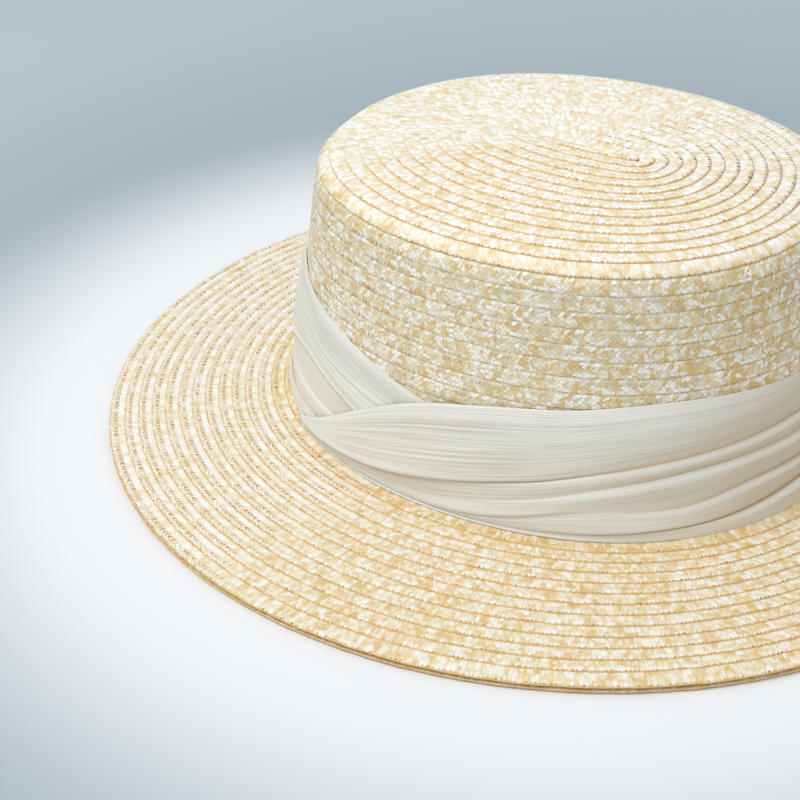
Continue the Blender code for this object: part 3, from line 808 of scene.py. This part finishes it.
def wrap_silk(name):
    """Wraps a flat grid round the crown, following the folds."""
    angles = np.linspace(FOLD_TABLE[0][0], FOLD_TABLE[-1][0], BAND_STEPS + 1)
    sections = np.array([band_section(angle) for angle in angles])
    heights, offsets, widths, crease_shadows, ridge_highlights, painted_shades = (sections[:, :, k] for k in range(6))
    half = SHOULDER_HALF_WIDTH + (SHOULDER_FOOT - heights) * math.tan(SIDE_LEAN) + offsets / math.cos(SIDE_LEAN)
    points = on_oval(half, heights, angles[:, None] + 0 * half)
    middle = points[:, points.shape[1] // 2]
    along = np.concatenate([[0], np.cumsum(np.linalg.norm(np.diff(middle, axis=0), axis=1))])
    mesh, i, j, corner = grid_mesh(name, points, BAND_STEPS, points.shape[1] - 1)
    add_uv(mesh, "silk", along[i[corner]], widths[i[corner], j[corner]])
    for attribute, values in (("crease_shadow", crease_shadows), ("ridge", ridge_highlights), ("painted_shade", painted_shades)):
        mesh.attributes.new(attribute, "FLOAT", "POINT").data.foreach_set("value", values[i, j].astype(np.float32))
    mesh.update()
    return add_object(name, mesh)


def outward(piece):
    """Turns the sheet's faces away from the hat's axis if they point towards it."""
    mesh = piece.data
    centres = np.array([polygon.center for polygon in mesh.polygons])
    normals = np.array([polygon.normal for polygon in mesh.polygons])
    if (centres[:, :2] * normals[:, :2]).sum() < 0:
        mesh.flip_normals()


SILK_TONES = ((0.34, (0.55, 0.52, 0.44)), (0.50, (0.725, 0.71, 0.64)), (0.66, (0.81, 0.80, 0.755)))
SLUB_COLOUR = (0.86, 0.85, 0.80)
DARK_SLUB_COLOUR = (0.55, 0.47, 0.36)
HEM_COLOUR = (0.58, 0.52, 0.43)
PAINTED_SHADE_COLOUR = (0.62, 0.52, 0.37)
RIDGE_HIGHLIGHT_COLOUR = (0.92, 0.91, 0.87)
CREASE_SHADOW_COLOUR = (0.46, 0.30, 0.14)
FINE_RELIEF, SLUB_RELIEF = 0.06, 0.07


def silk_material():
    """Raw silk with its threads along the strip, and the folds' painted shades, shadows and highlights read from the
    strip's own attributes.
    """
    material = bpy.data.materials.new("raw_silk")
    material.use_nodes = True
    tree = material.node_tree
    shader = tree.nodes["Principled BSDF"]
    place = node(tree, "ShaderNodeUVMap", uv_map="silk")
    split = node(tree, "ShaderNodeSeparateXYZ", {0: place.outputs[0]})
    along, width = split.outputs[0], split.outputs[1]

    def threads(across_scale, along_scale, detail, seed):
        """Smooth noise drawn out along the strip, as scales a metre."""
        x, y = calc(tree, "MULTIPLY", along, along_scale), calc(tree, "MULTIPLY", width, across_scale)
        inputs = {"Vector": vector(tree, x, y, seed), "Scale": 1.0, "Detail": detail}
        return node(tree, "ShaderNodeTexNoise", inputs).outputs["Fac"]

    fine = threads(3500.0, 9.0, detail=1.0, seed=0.0)
    slubs = threads(3900.0, 26.0, detail=0.0, seed=3.0)
    cloud = threads(90.0, 18.0, detail=2.0, seed=7.0)
    tone = calc(tree, "ADD", calc(tree, "MULTIPLY", fine, 0.7), calc(tree, "MULTIPLY", cloud, 0.3))
    colour = ramp(tree, tone, SILK_TONES)
    colour = mix(tree, ease(tree, slubs, 0.60, 0.72, 0.0, 0.45), colour, SLUB_COLOUR)
    colour = mix(tree, ease(tree, slubs, 0.38, 0.30, 0.0, 0.35), colour, DARK_SLUB_COLOUR)
    top_hem, low_hem = ease(tree, width, 0.0448, 0.0452, 0.0, 0.35), ease(tree, width, 0.0030, 0.0026, 0.0, 0.35)
    colour = mix(tree, calc(tree, "ADD", top_hem, low_hem), colour, SLUB_COLOUR)
    hem_line = calc(tree, "MULTIPLY", ease(tree, width, 0.0442, 0.0446), ease(tree, width, 0.0452, 0.0447))
    colour = mix(tree, calc(tree, "MULTIPLY", hem_line, 0.35), colour, HEM_COLOUR)
    # Painted shade under the folds and on the band's shaded side
    painted_shade = node(tree, "ShaderNodeAttribute", attribute_name="painted_shade").outputs["Fac"]
    colour = mix(tree, ease(tree, painted_shade, 0.05, 1.3, 0.0, 0.75), colour, PAINTED_SHADE_COLOUR)
    # Painted highlight on the rolled ridges
    ridge = node(tree, "ShaderNodeAttribute", attribute_name="ridge").outputs["Fac"]
    colour = mix(tree, ease(tree, ridge, 0.2, 1.0, 0.0, 0.50), colour, RIDGE_HIGHLIGHT_COLOUR)
    # Painted shadow in the creases
    crease_shadow = node(tree, "ShaderNodeAttribute", attribute_name="crease_shadow").outputs["Fac"]
    colour = mix(tree, ease(tree, crease_shadow, 0.15, 0.8, 0.0, 0.85), colour, CREASE_SHADOW_COLOUR)
    tree.links.new(colour, shader.inputs["Base Color"])
    height = calc(tree, "ADD", calc(tree, "MULTIPLY", fine, FINE_RELIEF), calc(tree, "MULTIPLY", slubs, SLUB_RELIEF))
    bump = node(tree, "ShaderNodeBump", {"Strength": 1.0, "Distance": 0.001, "Height": height})
    tree.links.new(bump.outputs["Normal"], shader.inputs["Normal"])
    shader.inputs["Roughness"].default_value = 0.54
    shader.inputs["Sheen Weight"].default_value = 0.25
    shader.inputs["Sheen Roughness"].default_value = 0.4
    return material


band = wrap_silk("silk_band")
outward(band)
thickness = band.modifiers.new("thickness", "SOLIDIFY")
thickness.thickness = SILK_THICKNESS
thickness.offset = -1
thickness.use_even_offset = False
band.data.materials.append(silk_material())
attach(band, "root")
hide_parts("band")

# Floor
# A plain pale floor under soft daylight, fading evenly to a cool blue-grey away from the hat.
FLOOR_HALF_SIZE = 2.5
FLOOR_NEAR_COLOUR = (0.81, 0.82, 0.84)
FLOOR_FADE_COLOUR = (0.33, 0.395, 0.425)
FLOOR_FAR_COLOUR = (0.43, 0.51, 0.545)
bm = bmesh.new()
bmesh.ops.create_grid(bm, x_segments=8, y_segments=8, size=FLOOR_HALF_SIZE)
mesh = bpy.data.meshes.new("floor")
bm.to_mesh(mesh)
bm.free()
floor = bpy.data.objects.new("floor", mesh)
bpy.context.scene.collection.objects.link(floor)
material = bpy.data.materials.new("floor")
material.use_nodes = True
tree = material.node_tree
shader = tree.nodes["Principled BSDF"]
place = node(tree, "ShaderNodeTexCoord").outputs["Object"]
reach = node(tree, "ShaderNodeVectorMath", {0: place}, operation="LENGTH").outputs["Value"]
far = mix(tree, ease(tree, reach, 0.18, 0.45), FLOOR_FADE_COLOUR, FLOOR_FAR_COLOUR)
colour = mix(tree, ease(tree, reach, 0.165, 0.27), FLOOR_NEAR_COLOUR, far)
tree.links.new(colour, shader.inputs["Base Color"])
shader.inputs["Roughness"].default_value = 0.75
shader.inputs["Specular IOR Level"].default_value = 0.2
mesh.materials.append(material)

world = bpy.data.worlds.new("daylight")
bpy.context.scene.world = world
world.use_nodes = True
sky = world.node_tree.nodes["Background"]
sky.inputs["Color"].default_value = (0.93, 0.97, 1.0, 1)
sky.inputs["Strength"].default_value = 0.75


HAT_MIDDLE = Vector((0, 0, 0.05))


def soft_light(name, azimuth, elevation, distance, size, power, colour):
    """An area light that looks at the middle of the hat."""
    light = bpy.data.lights.new(name, "AREA")
    light.shape = "DISK"
    light.size = size
    light.energy = power
    light.color = colour
    a, e = math.radians(azimuth), math.radians(elevation)
    back = Vector((math.sin(a) * math.cos(e), -math.cos(a) * math.cos(e), math.sin(e)))
    lamp = bpy.data.objects.new(name, light)
    lamp.location = HAT_MIDDLE + back * distance
    lamp.rotation_euler = (-back).to_track_quat("-Z", "Y").to_euler()
    bpy.context.scene.collection.objects.link(lamp)


soft_light("window", azimuth=60, elevation=60, distance=1.6, size=1.2, power=13.4, colour=(1.0, 0.985, 0.965))

# Camera at the photo's viewing angle
CAMERA_PLACE = Vector((0.44517, 0.26024, 0.31486))
CAMERA_AHEAD = Vector((-0.68111, -0.50977, -0.52557))
CAMERA_UP = Vector((-0.43648, -0.29362, 0.85045))
CAMERA_LENS = 77.463
SENSOR_WIDTH = 36
camera = bpy.data.cameras.new("camera")
camera.lens = CAMERA_LENS
camera.sensor_width = SENSOR_WIDTH
camera.clip_start, camera.clip_end = 0.02, 20
eye = bpy.data.objects.new("camera", camera)
side = CAMERA_AHEAD.cross(CAMERA_UP).normalized()
up = side.cross(CAMERA_AHEAD).normalized()
turn = Matrix((side, up, -CAMERA_AHEAD.normalized())).transposed()
eye.matrix_world = Matrix.Translation(CAMERA_PLACE) @ turn.to_4x4()
bpy.context.scene.collection.objects.link(eye)
bpy.context.scene.camera = eye
bpy.context.scene.view_settings.view_transform = "Standard"
